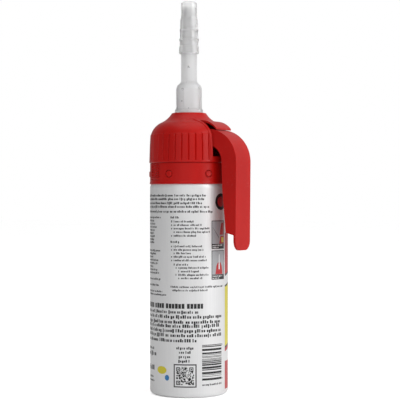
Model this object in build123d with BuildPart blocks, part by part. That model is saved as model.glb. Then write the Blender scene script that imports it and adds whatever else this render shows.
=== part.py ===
from build123d import *

import os
from math import asin, cos, degrees, radians, sin, sqrt

# A pressurised caulk dispenser: an aluminium can, a snap-on trigger housing over its valve, a nozzle
# and the nozzle's cap.
#
# Frame: millimetres, +Z up along the can's axis, the origin at the middle of its foot. The trigger
# lever reaches out along +X. Names ending in _z are heights above the foot.
# Revolved pieces are drawn on Plane.XZ, where X is the radius and Y is the height.

# ---------------------------------------------------------------- driving dimensions
# can
CAN_R = 26.5
CAN_WALL_H = 139.6
FOOT_CORNER_R = 3.2
FOOT_LAND_W = 0.9
DOME_H = 8.0
DOME_LAND_R = 6.0
DOME_EDGE_W = 1.5
DOME_EDGE_H = 1.5
SHOULDER_ROUND_R = 6.0
SHOULDER_TURN = 50.0
SHOULDER_H = 13.33
NECK_H = 4.67
NECK_INSET = 0.3
CURL_R = 1.55
MOUTH_R = 12.7

# filling plug
PLUG_HEAD_R = 4.6
PLUG_HEAD_H = 1.6
PLUG_SHANK_R = 2.9
PLUG_SHANK_H = 3.2

# valve
GASKET_T = 0.4
GASKET_W = 2.2
CUP_SHEET = 0.4
CUP_SKIRT_H = 2.6
CUP_DEPTH = 8.6
PEDESTAL_H = 4.2
PEDESTAL_SHELF_W = 1.8
GROMMET_WALL = 0.9
GROMMET_FLANGE_W = 2.6
GROMMET_LOW_H = 6.8
GROMMET_LOW_EDGE_H = 2.0
GROMMET_TOP_H = 5.8
STEM_R = 3.6
STEM_BORE_R = 2.0
STEM_FOOT_W = 1.4
STEM_FOOT_H = 2.8
STEM_COLLAR_H = 1.0
STEM_PORT_R = 0.9
STEM_PORT_SILL = 0.1
STEM_TOP_H = 13.0
STROKE = 2.0
POCKET_SPARE = 1.0

# nozzle adapter
FLANGE_W = 0.7
FLANGE_H = 2.5
FLANGE_RISE = 9.0
SPIGOT_R = 6.2
SPIGOT_H = 22.0
SPIGOT_CHAMFER = 0.6
ADAPTER_BORE_R = 3.0

# collar band
BAND_WALL = 1.6
BAND_RISE = 2.6
BAND_H = 14.1
BAND_EDGE = 0.3
BAND_FLARE = 0.3
BAND_FLARE_H = 2.0
STUD_COUNT = 6
STUD_R = 2.15
STUD_RISE = 6.8
STUD_PROUD = 0.5
STUD_DRAFT = 45.0
PAD_ANGLE = 120.0
PAD_HALF_ANGLE = 12.0
PAD_H = 9.0
PAD_TOP_EDGE = 0.8
PAD_DEPTH = 0.75
PIP_COLUMNS = 4
PIP_ROWS = 5
PIP_SIZE = 1.5
PIP_ROOT = 0.2
PIP_DRAFT = 22.0
LIP_SCOOP_R = 2.7
LIP_SCOOP_DEPTH = 0.5
LIP_SCOOP_HALF_H = 1.1
LIP_SCOOP_DROP = 1.3

# housing: how far its outline stands out from the can at each height
LIP_OUT = 0.6
LIP_EDGE = 0.4
LIP_EDGE_H = 0.6
LIP_H = 1.5
FOOT_OUT = 0.5
MID_OUT = 0.2
TOP_IN = 0.2
DOME_IN = 0.6
DOME_STEP_H = 0.7
DOME_ROUND_IN = 2.85
DOME_ROUND_H = 5.7
HOUSING_WALL = 1.7
RIB_H = 17.4
RIB_MID_H = 10.44
RIB_COUNT = 36
RIB_DEPTH = 0.6
RIB_GROOVE_W = 1.0
CREASE_IN = 8.0
CREASE_RISE = 8.9
NECK_RISE = 2.2
RIM_RISE = 6.2
RIM_WALL = 1.5
RIM_H = 2.0
SKIRT_WALL = 1.5
SKIRT_RISE = 4.0
WEB_T = 1.6
HOOK_WALL = 1.5
HOOK_DEPTH = 0.6
HOOK_LAND = 0.4
HOOK_H = 1.4
EAR_T = 2.5
EAR_HALF_LENGTH = 4.0
ROOT_OVERLAP = 0.5
# the way that the dome's outline faces at its middle, its crease, its neck and its rim
DOME_FACING = 43.0
CREASE_FACING = 60.0
NECK_FACING = 50.0
RIM_FACING = 30.0

# slot and hood
SLOT_START_X = 10.3
SLOT_SILL_H = 2.5
SLOT_RIM_W = 1.5
SLOT_RIM_PROUD = 0.35
HOOD_ROOT_IN = 0.8
HOOD_LAP = 3.2
HOOD_ARC_R = 13.9
HOOD_ARC_IN = 10.5
HOOD_ARC_DROP = 8.0
HOOD_MID_ANGLE = 62.0
HOOD_TIP_ANGLE = 39.0
HOOD_END_OUT = 0.5
HOOD_END_FALL = 0.5
HOOD_END_T = 0.8
HOOD_T = 1.2

# trigger lever
TRIGGER_W = 20.6
TRIGGER_WALL = 1.5
TRIGGER_RISE = 11.0
BEND_IN = 6.5
BEND_R = 22.0
INNER_BEND_IN = 0.4
INNER_BEND_R = 11.4
GRIP_DROP = 81.0
GRIP_CORNER_R = 6.5
GRIP_DRAFT = 0.5
SIDE_DROP = 69.2
SIDE_FOOT_DEPTH = 7.8
SIDE_FOOT_SLOPE = 1.6
SIDE_WAIST_DEPTH = 10.3
SIDE_WAIST_DROP = 19.0
INNER_EDGE_RISE = 0.4
FORK_EDGE_RISE = 1.8
NOSE_R = 1.5
PIVOT_IN = 9.0
PIVOT_RISE = 2.5
PIVOT_BOSS_R = 3.0
TRUNNION_R = 1.5

# nozzle
NOZZLE_BASE_WALL = 2.48
NOZZLE_SKIRT_W = 0.87
NOZZLE_SKIRT_H = 11.9
NOZZLE_SKIRT_EDGE = 0.5
NOZZLE_BASE_H = 13.5
NOZZLE_RIB_COUNT = 4
NOZZLE_RIB_W = 2.0
NOZZLE_RIB_ROOT = 1.1
NOZZLE_RIB_PROUD = 0.3
NOZZLE_RIB_LAP = 0.3
NOZZLE_RIB_DRAFT = 8.0
CHEST_ROUND = 0.45
CHEST_RISE = 2.6
CHEST_OUT = 2.57
CHEST_MID_H = 1.5
CHEST_MID_OUT = 0.9
CHEST_INNER_DROP = 0.8
BARREL_R = 5.3
BARREL_RISE = 5.2
BARREL_STRAIGHT_H = 17.9
TIP_R = 3.9
TIP_H = 32.0
NOZZLE_BORE_R = 3.1

# nozzle cap: heights above its mouth, and its wall there
CAP_WALL = 1.35
CAP_BAND_H = 4.5
CAP_WAIST_H = 5.2
CAP_WAIST_WALL = 1.23
CAP_BEAD_H = 8.4
CAP_BEAD_PROUD = 0.4
CAP_COLLAR_H = 15.1
CAP_COLLAR_WALL = 1.41
CAP_COLLAR_PROUD = 0.3
CAP_NECK_H = 22.8
CAP_NECK_WALL = 1.55
CAP_SHOULDER_H = 2.2
CAP_CROWN_H = 4.4
CAP_CORNER_R = 1.4

# clearances
SEAT_GAP = 0.2
RUNNING_GAP = 0.05
STUD_GAP = 0.4
BAND_GAP = 0.3
SLOT_GAP = 0.7
EAR_GAP = 0.6
PRESS_GAP = 0.3
CAP_GAP = 0.1
CAP_MOUTH_GAP = 1.2
CAP_TIP_GAP = 0.8
PLUG_GAP = 0.1
SPIGOT_GAP = 1.4
NOZZLE_GAP = 2.5
MOUTH_GAP = 0.6

# ---------------------------------------------------------------- sizes that follow
# can
foot_outer_r = CAN_R - FOOT_CORNER_R
foot_inner_r = foot_outer_r - FOOT_LAND_W
dome_edge_r = foot_inner_r - DOME_EDGE_W
shoulder_mid_r = CAN_R - SHOULDER_ROUND_R
neck_foot_z = CAN_WALL_H + SHOULDER_H
curl_mid_r = MOUTH_R + CURL_R
curl_top_z = neck_foot_z + NECK_H
curl_mid_z = curl_top_z - CURL_R
neck_r = curl_mid_r - NECK_INSET

# valve
cup_inner_r = MOUTH_R - CUP_SHEET - RUNNING_GAP
cup_outer_r = MOUTH_R + 2 * CURL_R + CUP_SHEET + RUNNING_GAP
gasket_z = curl_top_z + RUNNING_GAP
cup_top_z = gasket_z + GASKET_T + RUNNING_GAP + CUP_SHEET
cup_skirt_z = cup_top_z - CUP_SKIRT_H
cup_floor_z = curl_top_z - CUP_DEPTH
grommet_waist_r = STEM_R + GROMMET_WALL
grommet_flange_r = STEM_R + GROMMET_FLANGE_W
pedestal_r = grommet_flange_r + PEDESTAL_SHELF_W
pedestal_top_z = cup_floor_z + PEDESTAL_H
pedestal_under_z = pedestal_top_z - CUP_SHEET
grommet_bottom_z = pedestal_under_z - GROMMET_LOW_H
grommet_top_z = pedestal_top_z + GROMMET_TOP_H
stem_foot_r = STEM_R + STEM_FOOT_W
stem_foot_top_z = grommet_bottom_z - RUNNING_GAP
stem_bottom_z = stem_foot_top_z - STEM_FOOT_H
stem_top_z = grommet_top_z + STEM_TOP_H
stem_collar_z = grommet_top_z + RUNNING_GAP
pocket_floor_z = stem_bottom_z - STROKE - POCKET_SPARE

# lever and nozzle adapter
trigger_half = TRIGGER_W / 2
adapter_bottom_z = stem_collar_z + STEM_COLLAR_H
flange_r = trigger_half + FLANGE_W
flange_top_z = grommet_top_z + FLANGE_RISE
flange_bottom_z = flange_top_z - FLANGE_H
spigot_top_z = flange_top_z + SPIGOT_H
trigger_top_z = flange_top_z + TRIGGER_RISE
pivot_x = PIVOT_IN - CAN_R
pivot_z = flange_top_z + PIVOT_RISE
bend_x = CAN_R - BEND_IN
bend_z = trigger_top_z - BEND_R
grip_x = bend_x + BEND_R
grip_bottom_z = trigger_top_z - GRIP_DROP
side_bottom_z = trigger_top_z - SIDE_DROP
fork_edge_z = flange_top_z + FORK_EDGE_RISE
hole_r = SPIGOT_R + SPIGOT_GAP

# nozzle and cap
nozzle_socket_r = SPIGOT_R + RUNNING_GAP
nozzle_base_r = nozzle_socket_r + NOZZLE_BASE_WALL
nozzle_skirt_r = nozzle_base_r + NOZZLE_SKIRT_W
nozzle_skirt_z = trigger_top_z + NOZZLE_GAP
nozzle_base_z = nozzle_skirt_z + NOZZLE_SKIRT_H
chest_z = nozzle_base_z + NOZZLE_BASE_H
barrel_z = chest_z + BARREL_RISE
taper_z = barrel_z + BARREL_STRAIGHT_H
tip_z = taper_z + TIP_H
cap_mouth_z = taper_z + CAP_MOUTH_GAP
cap_top_z = tip_z + CAP_CROWN_H
cap_top_r = TIP_R + CAP_GAP + CAP_WALL

# collar band
band_r = CAN_R
band_bottom_z = CAN_WALL_H + BAND_RISE
band_top_z = band_bottom_z + BAND_H
band_inner_r = band_r - BAND_WALL
band_foot_inner_r = shoulder_mid_r + SEAT_GAP + sqrt(SHOULDER_ROUND_R**2 - BAND_RISE**2)
band_step_z = CAN_WALL_H + SEAT_GAP + sqrt(SHOULDER_ROUND_R**2 - (band_inner_r - shoulder_mid_r) ** 2)
stud_z = band_bottom_z + STUD_RISE
stud_angles = [(k + 0.5) * 360 / STUD_COUNT for k in range(STUD_COUNT)]
pad_floor_r = band_r - PAD_DEPTH
pad_bottom_z = band_top_z - PAD_TOP_EDGE - PAD_H

# housing
housing_bottom_z = band_top_z + SEAT_GAP
rib_bottom_z = housing_bottom_z + LIP_H
rib_top_z = rib_bottom_z + RIB_H
rib_mid_z = rib_bottom_z + RIB_MID_H
lip_r = CAN_R + LIP_OUT
housing_foot_r = CAN_R + FOOT_OUT
housing_top_r = CAN_R - TOP_IN
dome_base = (CAN_R - DOME_IN, rib_top_z + DOME_STEP_H)
dome_mid = (dome_base[0] - DOME_ROUND_IN, rib_top_z + DOME_ROUND_H)
crease = (CAN_R - CREASE_IN, rib_top_z + CREASE_RISE)
mouth_r = nozzle_skirt_r + MOUTH_GAP
rim = (mouth_r + RIM_WALL, crease[1] + RIM_RISE)
neck_mid = ((crease[0] + rim[0]) / 2, crease[1] + NECK_RISE)
housing_inner_r = housing_foot_r - HOUSING_WALL - RIB_DEPTH
skirt_r = band_inner_r - BAND_GAP
skirt_bottom_z = band_bottom_z + SKIRT_RISE
web_bottom_z = cup_top_z + SEAT_GAP
web_top_z = web_bottom_z + WEB_T
hook_r = cup_outer_r + BAND_GAP
hook_top_z = cup_skirt_z - SEAT_GAP
ear_inner_y = trigger_half + EAR_GAP
ear_outer_y = ear_inner_y + EAR_T

# slot and hood
slot_half = trigger_half + SLOT_GAP
slot_rim_half = slot_half + SLOT_RIM_W
slot_bottom_z = rib_bottom_z + SLOT_SILL_H
hood_root_r = crease[0] - HOOD_ROOT_IN
hood_middle = (CAN_R - HOOD_ARC_IN, trigger_top_z - HOOD_ARC_DROP)


def on_circle(radius, angle):
    """The point at that radius and that angle, in degrees from +X."""
    return (radius * cos(radians(angle)), radius * sin(radians(angle)))


def shifted(point, angle, distance):
    """The point moved by distance along angle, in degrees from +X."""
    across, up = on_circle(distance, angle)
    return (point[0] + across, point[1] + up)


def dome_line(out):
    """The housing's outline from its bottom edge to the rim of its mouth, moved out by that much."""
    wall = Polyline(
        (lip_r - LIP_EDGE + out, housing_bottom_z),
        (lip_r + out, housing_bottom_z + LIP_EDGE_H),
        (housing_foot_r + out, rib_bottom_z),
        (CAN_R + MID_OUT + out, rib_mid_z),
        (housing_top_r + out, rib_top_z),
        shifted(dome_base, 0, out),
    )
    crease_out = shifted(crease, CREASE_FACING, out)
    ThreePointArc(wall @ 1, shifted(dome_mid, DOME_FACING, out), crease_out)
    neck = ThreePointArc(crease_out, shifted(neck_mid, NECK_FACING, out), shifted(rim, RIM_FACING, out))
    return wall @ 0, neck @ 1


def radial_plane(angle, height, radius=0.0):
    """A plane that looks outward at that angle, with its local Y along the can's axis."""
    out_x, out_y = on_circle(1, angle)
    return Plane((radius * out_x, radius * out_y, height), x_dir=(-out_y, out_x, 0), z_dir=(out_x, out_y, 0))


os.makedirs("parts", exist_ok=True)

# ---------------------------------------------------------------- can
# One solid, with its contents. The foot is a flat ring around a domed base.
with BuildPart() as can:
    with BuildSketch(Plane.XZ):
        with BuildLine():
            base_span = dome_edge_r**2 + DOME_EDGE_H**2 - DOME_LAND_R**2 - DOME_H**2
            base_sphere_z = base_span / (2 * (DOME_EDGE_H - DOME_H))
            base_sphere_r = sqrt(DOME_LAND_R**2 + (DOME_H - base_sphere_z) ** 2)
            base_mid_r = (DOME_LAND_R + dome_edge_r) / 2
            base_mid = (base_mid_r, base_sphere_z + sqrt(base_sphere_r**2 - base_mid_r**2))
            round_end = shifted((shoulder_mid_r, CAN_WALL_H), SHOULDER_TURN, SHOULDER_ROUND_R)
            Line((0, DOME_H), (DOME_LAND_R, DOME_H))
            ThreePointArc((DOME_LAND_R, DOME_H), base_mid, (dome_edge_r, DOME_EDGE_H))
            Polyline((dome_edge_r, DOME_EDGE_H), (foot_inner_r, 0), (foot_outer_r, 0))
            RadiusArc((foot_outer_r, 0), (CAN_R, FOOT_CORNER_R), -FOOT_CORNER_R)
            Line((CAN_R, FOOT_CORNER_R), (CAN_R, CAN_WALL_H))
            RadiusArc((CAN_R, CAN_WALL_H), round_end, -SHOULDER_ROUND_R)
            Polyline(
                round_end,
                (neck_r, neck_foot_z),
                (neck_r, curl_mid_z),
                (MOUTH_R, curl_mid_z),
                (MOUTH_R, pocket_floor_z),
                (0, pocket_floor_z),
                (0, DOME_H),
            )
        make_face()
        with Locations((curl_mid_r, curl_mid_z)):
            Circle(CURL_R)
    revolve(axis=Axis.Z)
    # the pocket that the filling plug's shank sits in
    with BuildSketch(Plane.XY.offset(DOME_H)):
        Circle(PLUG_SHANK_R + PLUG_GAP)
    extrude(amount=PLUG_SHANK_H + PLUG_GAP, mode=Mode.SUBTRACT)
can.part.label = "can"
export_step(can.part, "parts/can.step")

# ---------------------------------------------------------------- filling plug in the base
with BuildPart() as base_plug:
    with BuildSketch(Plane.XY.offset(DOME_H - PLUG_HEAD_H)):
        Circle(PLUG_HEAD_R)
    extrude(amount=PLUG_HEAD_H)
    fillet(base_plug.edges().sort_by(Axis.Z)[0], PLUG_HEAD_H / 2)
    with BuildSketch(Plane.XY.offset(DOME_H)):
        Circle(PLUG_SHANK_R)
    extrude(amount=PLUG_SHANK_H)
base_plug.part.label = "base_plug"
export_step(base_plug.part, "parts/base_plug.step")

# ---------------------------------------------------------------- valve cup, crimped over the can's curl
with BuildPart() as valve_cup:
    with BuildSketch(Plane.XZ):
        with BuildLine():
            Polyline(
                (cup_outer_r, cup_skirt_z),
                (cup_outer_r, cup_top_z),
                (cup_inner_r, cup_top_z),
                (cup_inner_r, cup_floor_z + CUP_SHEET),
                (pedestal_r, cup_floor_z + CUP_SHEET),
                (pedestal_r, pedestal_top_z),
                (grommet_waist_r + RUNNING_GAP, pedestal_top_z),
                (grommet_waist_r + RUNNING_GAP, pedestal_under_z),
                (pedestal_r - CUP_SHEET, pedestal_under_z),
                (pedestal_r - CUP_SHEET, cup_floor_z),
                (cup_inner_r + CUP_SHEET, cup_floor_z),
                (cup_inner_r + CUP_SHEET, cup_top_z - CUP_SHEET),
                (cup_outer_r - CUP_SHEET, cup_top_z - CUP_SHEET),
                (cup_outer_r - CUP_SHEET, cup_skirt_z),
                close=True,
            )
        make_face()
    revolve(axis=Axis.Z)
valve_cup.part.label = "valve_cup"
export_step(valve_cup.part, "parts/valve_cup.step")

with BuildPart() as cup_gasket:
    with BuildSketch(Plane.XY.offset(gasket_z)):
        Circle(curl_mid_r + GASKET_W / 2)
        Circle(curl_mid_r - GASKET_W / 2, mode=Mode.SUBTRACT)
    extrude(amount=GASKET_T)
cup_gasket.part.label = "cup_gasket"
export_step(cup_gasket.part, "parts/cup_gasket.step")

# ---------------------------------------------------------------- rubber grommet: seal and return spring
with BuildPart() as valve_grommet:
    with BuildSketch(Plane.XZ):
        with BuildLine():
            Polyline(
                (STEM_R + RUNNING_GAP, grommet_bottom_z),
                (stem_foot_r, grommet_bottom_z),
                (grommet_flange_r, grommet_bottom_z + GROMMET_LOW_EDGE_H),
                (grommet_flange_r, pedestal_under_z - RUNNING_GAP),
                (grommet_waist_r, pedestal_under_z - RUNNING_GAP),
                (grommet_waist_r, pedestal_top_z + RUNNING_GAP),
                (grommet_flange_r, pedestal_top_z + RUNNING_GAP),
                (stem_foot_r, grommet_top_z),
                (STEM_R + RUNNING_GAP, grommet_top_z),
                close=True,
            )
        make_face()
    revolve(axis=Axis.Z)
valve_grommet.part.label = "valve_grommet"
export_step(valve_grommet.part, "parts/valve_grommet.step")

# ---------------------------------------------------------------- valve stem: closed foot, side ports, open top
with BuildPart() as valve_stem:
    with BuildSketch(Plane.XY.offset(stem_bottom_z)):
        Circle(stem_foot_r)
    extrude(amount=STEM_FOOT_H)
    with BuildSketch(Plane.XY.offset(stem_foot_top_z)):
        Circle(STEM_R)
    extrude(amount=stem_top_z - stem_foot_top_z)
    with BuildSketch(Plane.XY.offset(stem_collar_z)):
        Circle(stem_foot_r)
    extrude(amount=STEM_COLLAR_H)
    with BuildSketch(Plane.XY.offset(stem_foot_top_z)):
        Circle(STEM_BORE_R)
    extrude(amount=stem_top_z - stem_foot_top_z, mode=Mode.SUBTRACT)
    port_z = stem_foot_top_z + STEM_PORT_R + STEM_PORT_SILL
    for side_plane in (Plane.XZ, Plane.YZ):
        with BuildSketch(side_plane):
            with Locations((0, port_z)):
                Circle(STEM_PORT_R)
        extrude(amount=stem_foot_r, both=True, mode=Mode.SUBTRACT)
valve_stem.part.label = "valve_stem"
export_step(valve_stem.part, "parts/valve_stem.step")

# ---------------------------------------------------------------- nozzle adapter: the flange the lever presses
with BuildPart() as nozzle_adapter:
    with BuildSketch(Plane.XY.offset(adapter_bottom_z)):
        Circle(SPIGOT_R)
    extrude(amount=spigot_top_z - adapter_bottom_z)
    chamfer(nozzle_adapter.edges().sort_by(Axis.Z)[-1], SPIGOT_CHAMFER)
    with BuildSketch(Plane.XY.offset(flange_bottom_z)):
        Circle(flange_r)
    extrude(amount=FLANGE_H)
    with BuildSketch(Plane.XY.offset(adapter_bottom_z)):
        Circle(STEM_R + RUNNING_GAP)
    extrude(amount=stem_top_z - adapter_bottom_z + RUNNING_GAP, mode=Mode.SUBTRACT)
    with BuildSketch(Plane.XY.offset(adapter_bottom_z)):
        Circle(ADAPTER_BORE_R)
    extrude(amount=spigot_top_z - adapter_bottom_z, mode=Mode.SUBTRACT)
nozzle_adapter.part.label = "nozzle_adapter"
export_step(nozzle_adapter.part, "parts/nozzle_adapter.step")

# ---------------------------------------------------------------- collar band
with BuildPart() as collar_band:
    with BuildSketch(Plane.XZ):
        with BuildLine():
            Polyline(
                (band_inner_r, band_step_z),
                (band_foot_inner_r, band_bottom_z),
                (band_r, band_bottom_z),
                (band_r + BAND_FLARE, band_bottom_z + BAND_EDGE),
                (band_r, band_bottom_z + BAND_FLARE_H),
                (band_r, band_top_z - BAND_EDGE),
                (band_r - BAND_EDGE, band_top_z),
                (band_inner_r, band_top_z),
                close=True,
            )
        make_face()
    revolve(axis=Axis.Z)
    for angle in stud_angles:
        with BuildSketch(radial_plane(angle, stud_z)):
            Circle(STUD_R + STUD_GAP)
        extrude(amount=2 * band_r, mode=Mode.SUBTRACT)
    # press pads: a shallow panel full of pips, over a scooped lip
    for pad_angle in (-PAD_ANGLE, PAD_ANGLE):
        with BuildSketch(Plane.XY.offset(pad_bottom_z)):
            with BuildLine():
                Polyline(
                    (0, 0),
                    on_circle(2 * band_r, pad_angle - PAD_HALF_ANGLE),
                    on_circle(2 * band_r, pad_angle + PAD_HALF_ANGLE),
                    close=True,
                )
            make_face()
            Circle(pad_floor_r, mode=Mode.SUBTRACT)
        extrude(amount=PAD_H, mode=Mode.SUBTRACT)
        for column in range(PIP_COLUMNS):
            step = 2 * PAD_HALF_ANGLE / (PIP_COLUMNS + 0.3)
            pip_angle = pad_angle + (column - (PIP_COLUMNS - 1) / 2) * step
            with BuildSketch(radial_plane(pip_angle, pad_bottom_z + PAD_H / 2, pad_floor_r - PIP_ROOT)):
                with GridLocations(1, PAD_H / (PIP_ROWS + 0.2), 1, PIP_ROWS):
                    Rectangle(PIP_SIZE, PIP_SIZE)
            extrude(amount=PAD_DEPTH + PIP_ROOT, taper=PIP_DRAFT)
        out_x, out_y = on_circle(1, pad_angle - PAD_HALF_ANGLE)
        scoop_plane = Plane((0, 0, 0), x_dir=(out_x, out_y, 0), z_dir=(out_y, -out_x, 0))
        with BuildSketch(scoop_plane):
            with Locations((band_r + LIP_SCOOP_R - LIP_SCOOP_DEPTH, pad_bottom_z - LIP_SCOOP_DROP)):
                Ellipse(LIP_SCOOP_R, LIP_SCOOP_HALF_H)
        revolve(axis=Axis.Z, revolution_arc=2 * PAD_HALF_ANGLE, mode=Mode.SUBTRACT)
collar_band.part.label = "collar_band"
export_step(collar_band.part, "parts/collar_band.step")

# ---------------------------------------------------------------- trigger housing
with BuildPart() as slot_cutter:
    with BuildSketch(Plane.XY.offset(slot_bottom_z)):
        with Locations((SLOT_START_X, 0)):
            Rectangle(2 * band_r, 2 * slot_half, align=(Align.MIN, Align.CENTER))
    extrude(amount=rim[1] - slot_bottom_z)
    # a tongue of the dome stays between the two slits, and carries the hood
    with BuildSketch(Plane.XY.offset(trigger_top_z + HOOD_T)):
        Circle(hood_root_r)
        Rectangle(4 * band_r, TRIGGER_W, mode=Mode.INTERSECT)
    extrude(amount=rim[1] - trigger_top_z, mode=Mode.SUBTRACT)

with BuildPart() as slot_rim:
    with BuildSketch(Plane.XZ):
        with BuildLine():
            outer_foot, outer_top = dome_line(SLOT_RIM_PROUD)
            inner_foot, inner_top = dome_line(-HOUSING_WALL / 2)
            Line(outer_foot, inner_foot)
            Line(outer_top, inner_top)
        make_face()
    revolve(axis=Axis.Z)
    with BuildSketch(Plane.XY.offset(rib_bottom_z)):
        with Locations((SLOT_START_X, 0)):
            Rectangle(2 * band_r, 2 * slot_rim_half, align=(Align.MIN, Align.CENTER))
            Rectangle(2 * band_r, 2 * slot_half, align=(Align.MIN, Align.CENTER), mode=Mode.SUBTRACT)
    extrude(amount=rim[1] - rib_bottom_z, mode=Mode.INTERSECT)

with BuildPart() as hood:
    with BuildSketch(Plane.XZ):
        with BuildLine():
            root_x = hood_root_r - HOOD_LAP
            top_root = (root_x, hood_middle[1] + sqrt(HOOD_ARC_R**2 - (root_x - hood_middle[0]) ** 2))
            top_mid = shifted(hood_middle, HOOD_MID_ANGLE, HOOD_ARC_R)
            top_tip = shifted(hood_middle, HOOD_TIP_ANGLE, HOOD_ARC_R)
            end_top = (CAN_R + HOOD_END_OUT, top_tip[1] - HOOD_END_FALL)
            end_low = (CAN_R + HOOD_END_OUT, end_top[1] - HOOD_END_T)
            low_mid = shifted(hood_middle, HOOD_MID_ANGLE, HOOD_ARC_R - HOOD_T)
            low_root = shifted(top_root, 90, -HOOD_T)
            ThreePointArc(top_root, top_mid, top_tip)
            Polyline(top_tip, end_top, end_low)
            ThreePointArc(end_low, low_mid, low_root)
            Line(low_root, top_root)
        make_face()
    extrude(amount=trigger_half, both=True)

with BuildPart() as rib_grooves:
    slot_half_angle = degrees(asin(slot_half / housing_foot_r))
    lean = (housing_foot_r - housing_top_r) / RIB_H
    groove_floor_r = housing_foot_r - RIB_DEPTH
    groove_cutter_r = groove_floor_r + 5 * RIB_DEPTH
    for k in range(RIB_COUNT):
        groove_angle = k * 360 / RIB_COUNT
        if cos(radians(groove_angle)) > cos(radians(slot_half_angle)):
            continue
        out_x, out_y = on_circle(1, groove_angle)
        with BuildSketch(Plane((0, 0, rib_bottom_z), x_dir=(out_x, out_y, 0), z_dir=(0, 0, 1))):
            with BuildLine():
                Polyline(
                    (groove_floor_r, 0),
                    (groove_cutter_r, 5 * RIB_GROOVE_W / 2),
                    (groove_cutter_r, -5 * RIB_GROOVE_W / 2),
                    close=True,
                )
            make_face()
        extrude(amount=RIB_H + DOME_STEP_H, dir=(-lean * out_x, -lean * out_y, 1))

with BuildPart() as ears:
    with BuildSketch(Plane.XZ):
        with Locations((pivot_x, pivot_z)):
            Circle(EAR_HALF_LENGTH)
        with Locations((pivot_x, pivot_z)):
            Rectangle(2 * EAR_HALF_LENGTH, pivot_z - web_bottom_z, align=(Align.CENTER, Align.MAX))
    extrude(amount=ear_outer_y, both=True)
    with BuildSketch(Plane.XZ):
        with Locations((pivot_x, pivot_z)):
            Rectangle(4 * EAR_HALF_LENGTH, 2 * pivot_z)
    extrude(amount=ear_inner_y, both=True, mode=Mode.SUBTRACT)
    with BuildSketch(Plane.XZ):
        with Locations((pivot_x, pivot_z)):
            Circle(TRUNNION_R + RUNNING_GAP)
    extrude(amount=2 * ear_outer_y, both=True, mode=Mode.SUBTRACT)
    # the ears end inside the housing's wall
    with BuildSketch(Plane.XY.offset(web_bottom_z)):
        Circle(housing_inner_r + ROOT_OVERLAP)
    extrude(amount=trigger_top_z - web_bottom_z, mode=Mode.INTERSECT)

with BuildPart() as housing:
    # outer wall and dome
    with BuildSketch(Plane.XZ):
        with BuildLine():
            wall_foot, rim_edge = dome_line(0)
            inner_mouth = (mouth_r, rim[1] - RIM_H)
            inner_crease = shifted(crease, CREASE_FACING, -HOUSING_WALL)
            inner_dome = shifted(dome_base, 0, -HOUSING_WALL)
            Polyline(rim_edge, (mouth_r, rim[1]), inner_mouth)
            ThreePointArc(inner_mouth, shifted(neck_mid, NECK_FACING, -HOUSING_WALL), inner_crease)
            ThreePointArc(inner_crease, shifted(dome_mid, DOME_FACING, -HOUSING_WALL), inner_dome)
            Polyline(
                inner_dome,
                (housing_inner_r, rib_mid_z),
                (housing_inner_r, housing_bottom_z),
                wall_foot,
            )
        make_face()
    revolve(axis=Axis.Z)
    add(rib_grooves.part, mode=Mode.SUBTRACT)
    add(slot_rim.part)
    add(slot_cutter.part, mode=Mode.SUBTRACT)
    add(hood.part)
    # web, with the snap hook that grips under the cup's rim, and the skirt inside the collar band
    with BuildSketch(Plane.XZ):
        with BuildLine():
            Polyline(
                (curl_mid_r, web_bottom_z),
                (hook_r, web_bottom_z),
                (hook_r, hook_top_z),
                (hook_r - HOOK_DEPTH, hook_top_z),
                (hook_r - HOOK_DEPTH, hook_top_z - HOOK_LAND),
                (hook_r, hook_top_z - HOOK_H),
                (hook_r + HOOK_WALL, hook_top_z - HOOK_H),
                (hook_r + HOOK_WALL, web_bottom_z),
                (skirt_r - SKIRT_WALL, web_bottom_z),
                (skirt_r - SKIRT_WALL, skirt_bottom_z),
                (skirt_r, skirt_bottom_z),
                (skirt_r, housing_bottom_z + SEAT_GAP),
                (housing_inner_r + ROOT_OVERLAP, housing_bottom_z + SEAT_GAP),
                (housing_inner_r + ROOT_OVERLAP, web_top_z),
                (curl_mid_r, web_top_z),
                close=True,
            )
        make_face()
    revolve(axis=Axis.Z)
    add(ears.part)
    for angle in stud_angles:
        with BuildSketch(radial_plane(angle, stud_z, skirt_r - SKIRT_WALL / 2)):
            Circle(STUD_R)
        extrude(amount=band_r - skirt_r + SKIRT_WALL / 2)
        with BuildSketch(radial_plane(angle, stud_z, band_r)):
            Circle(STUD_R)
        extrude(amount=STUD_PROUD, taper=STUD_DRAFT)
housing.part.label = "housing"
export_step(housing.part, "parts/housing.step")

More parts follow.
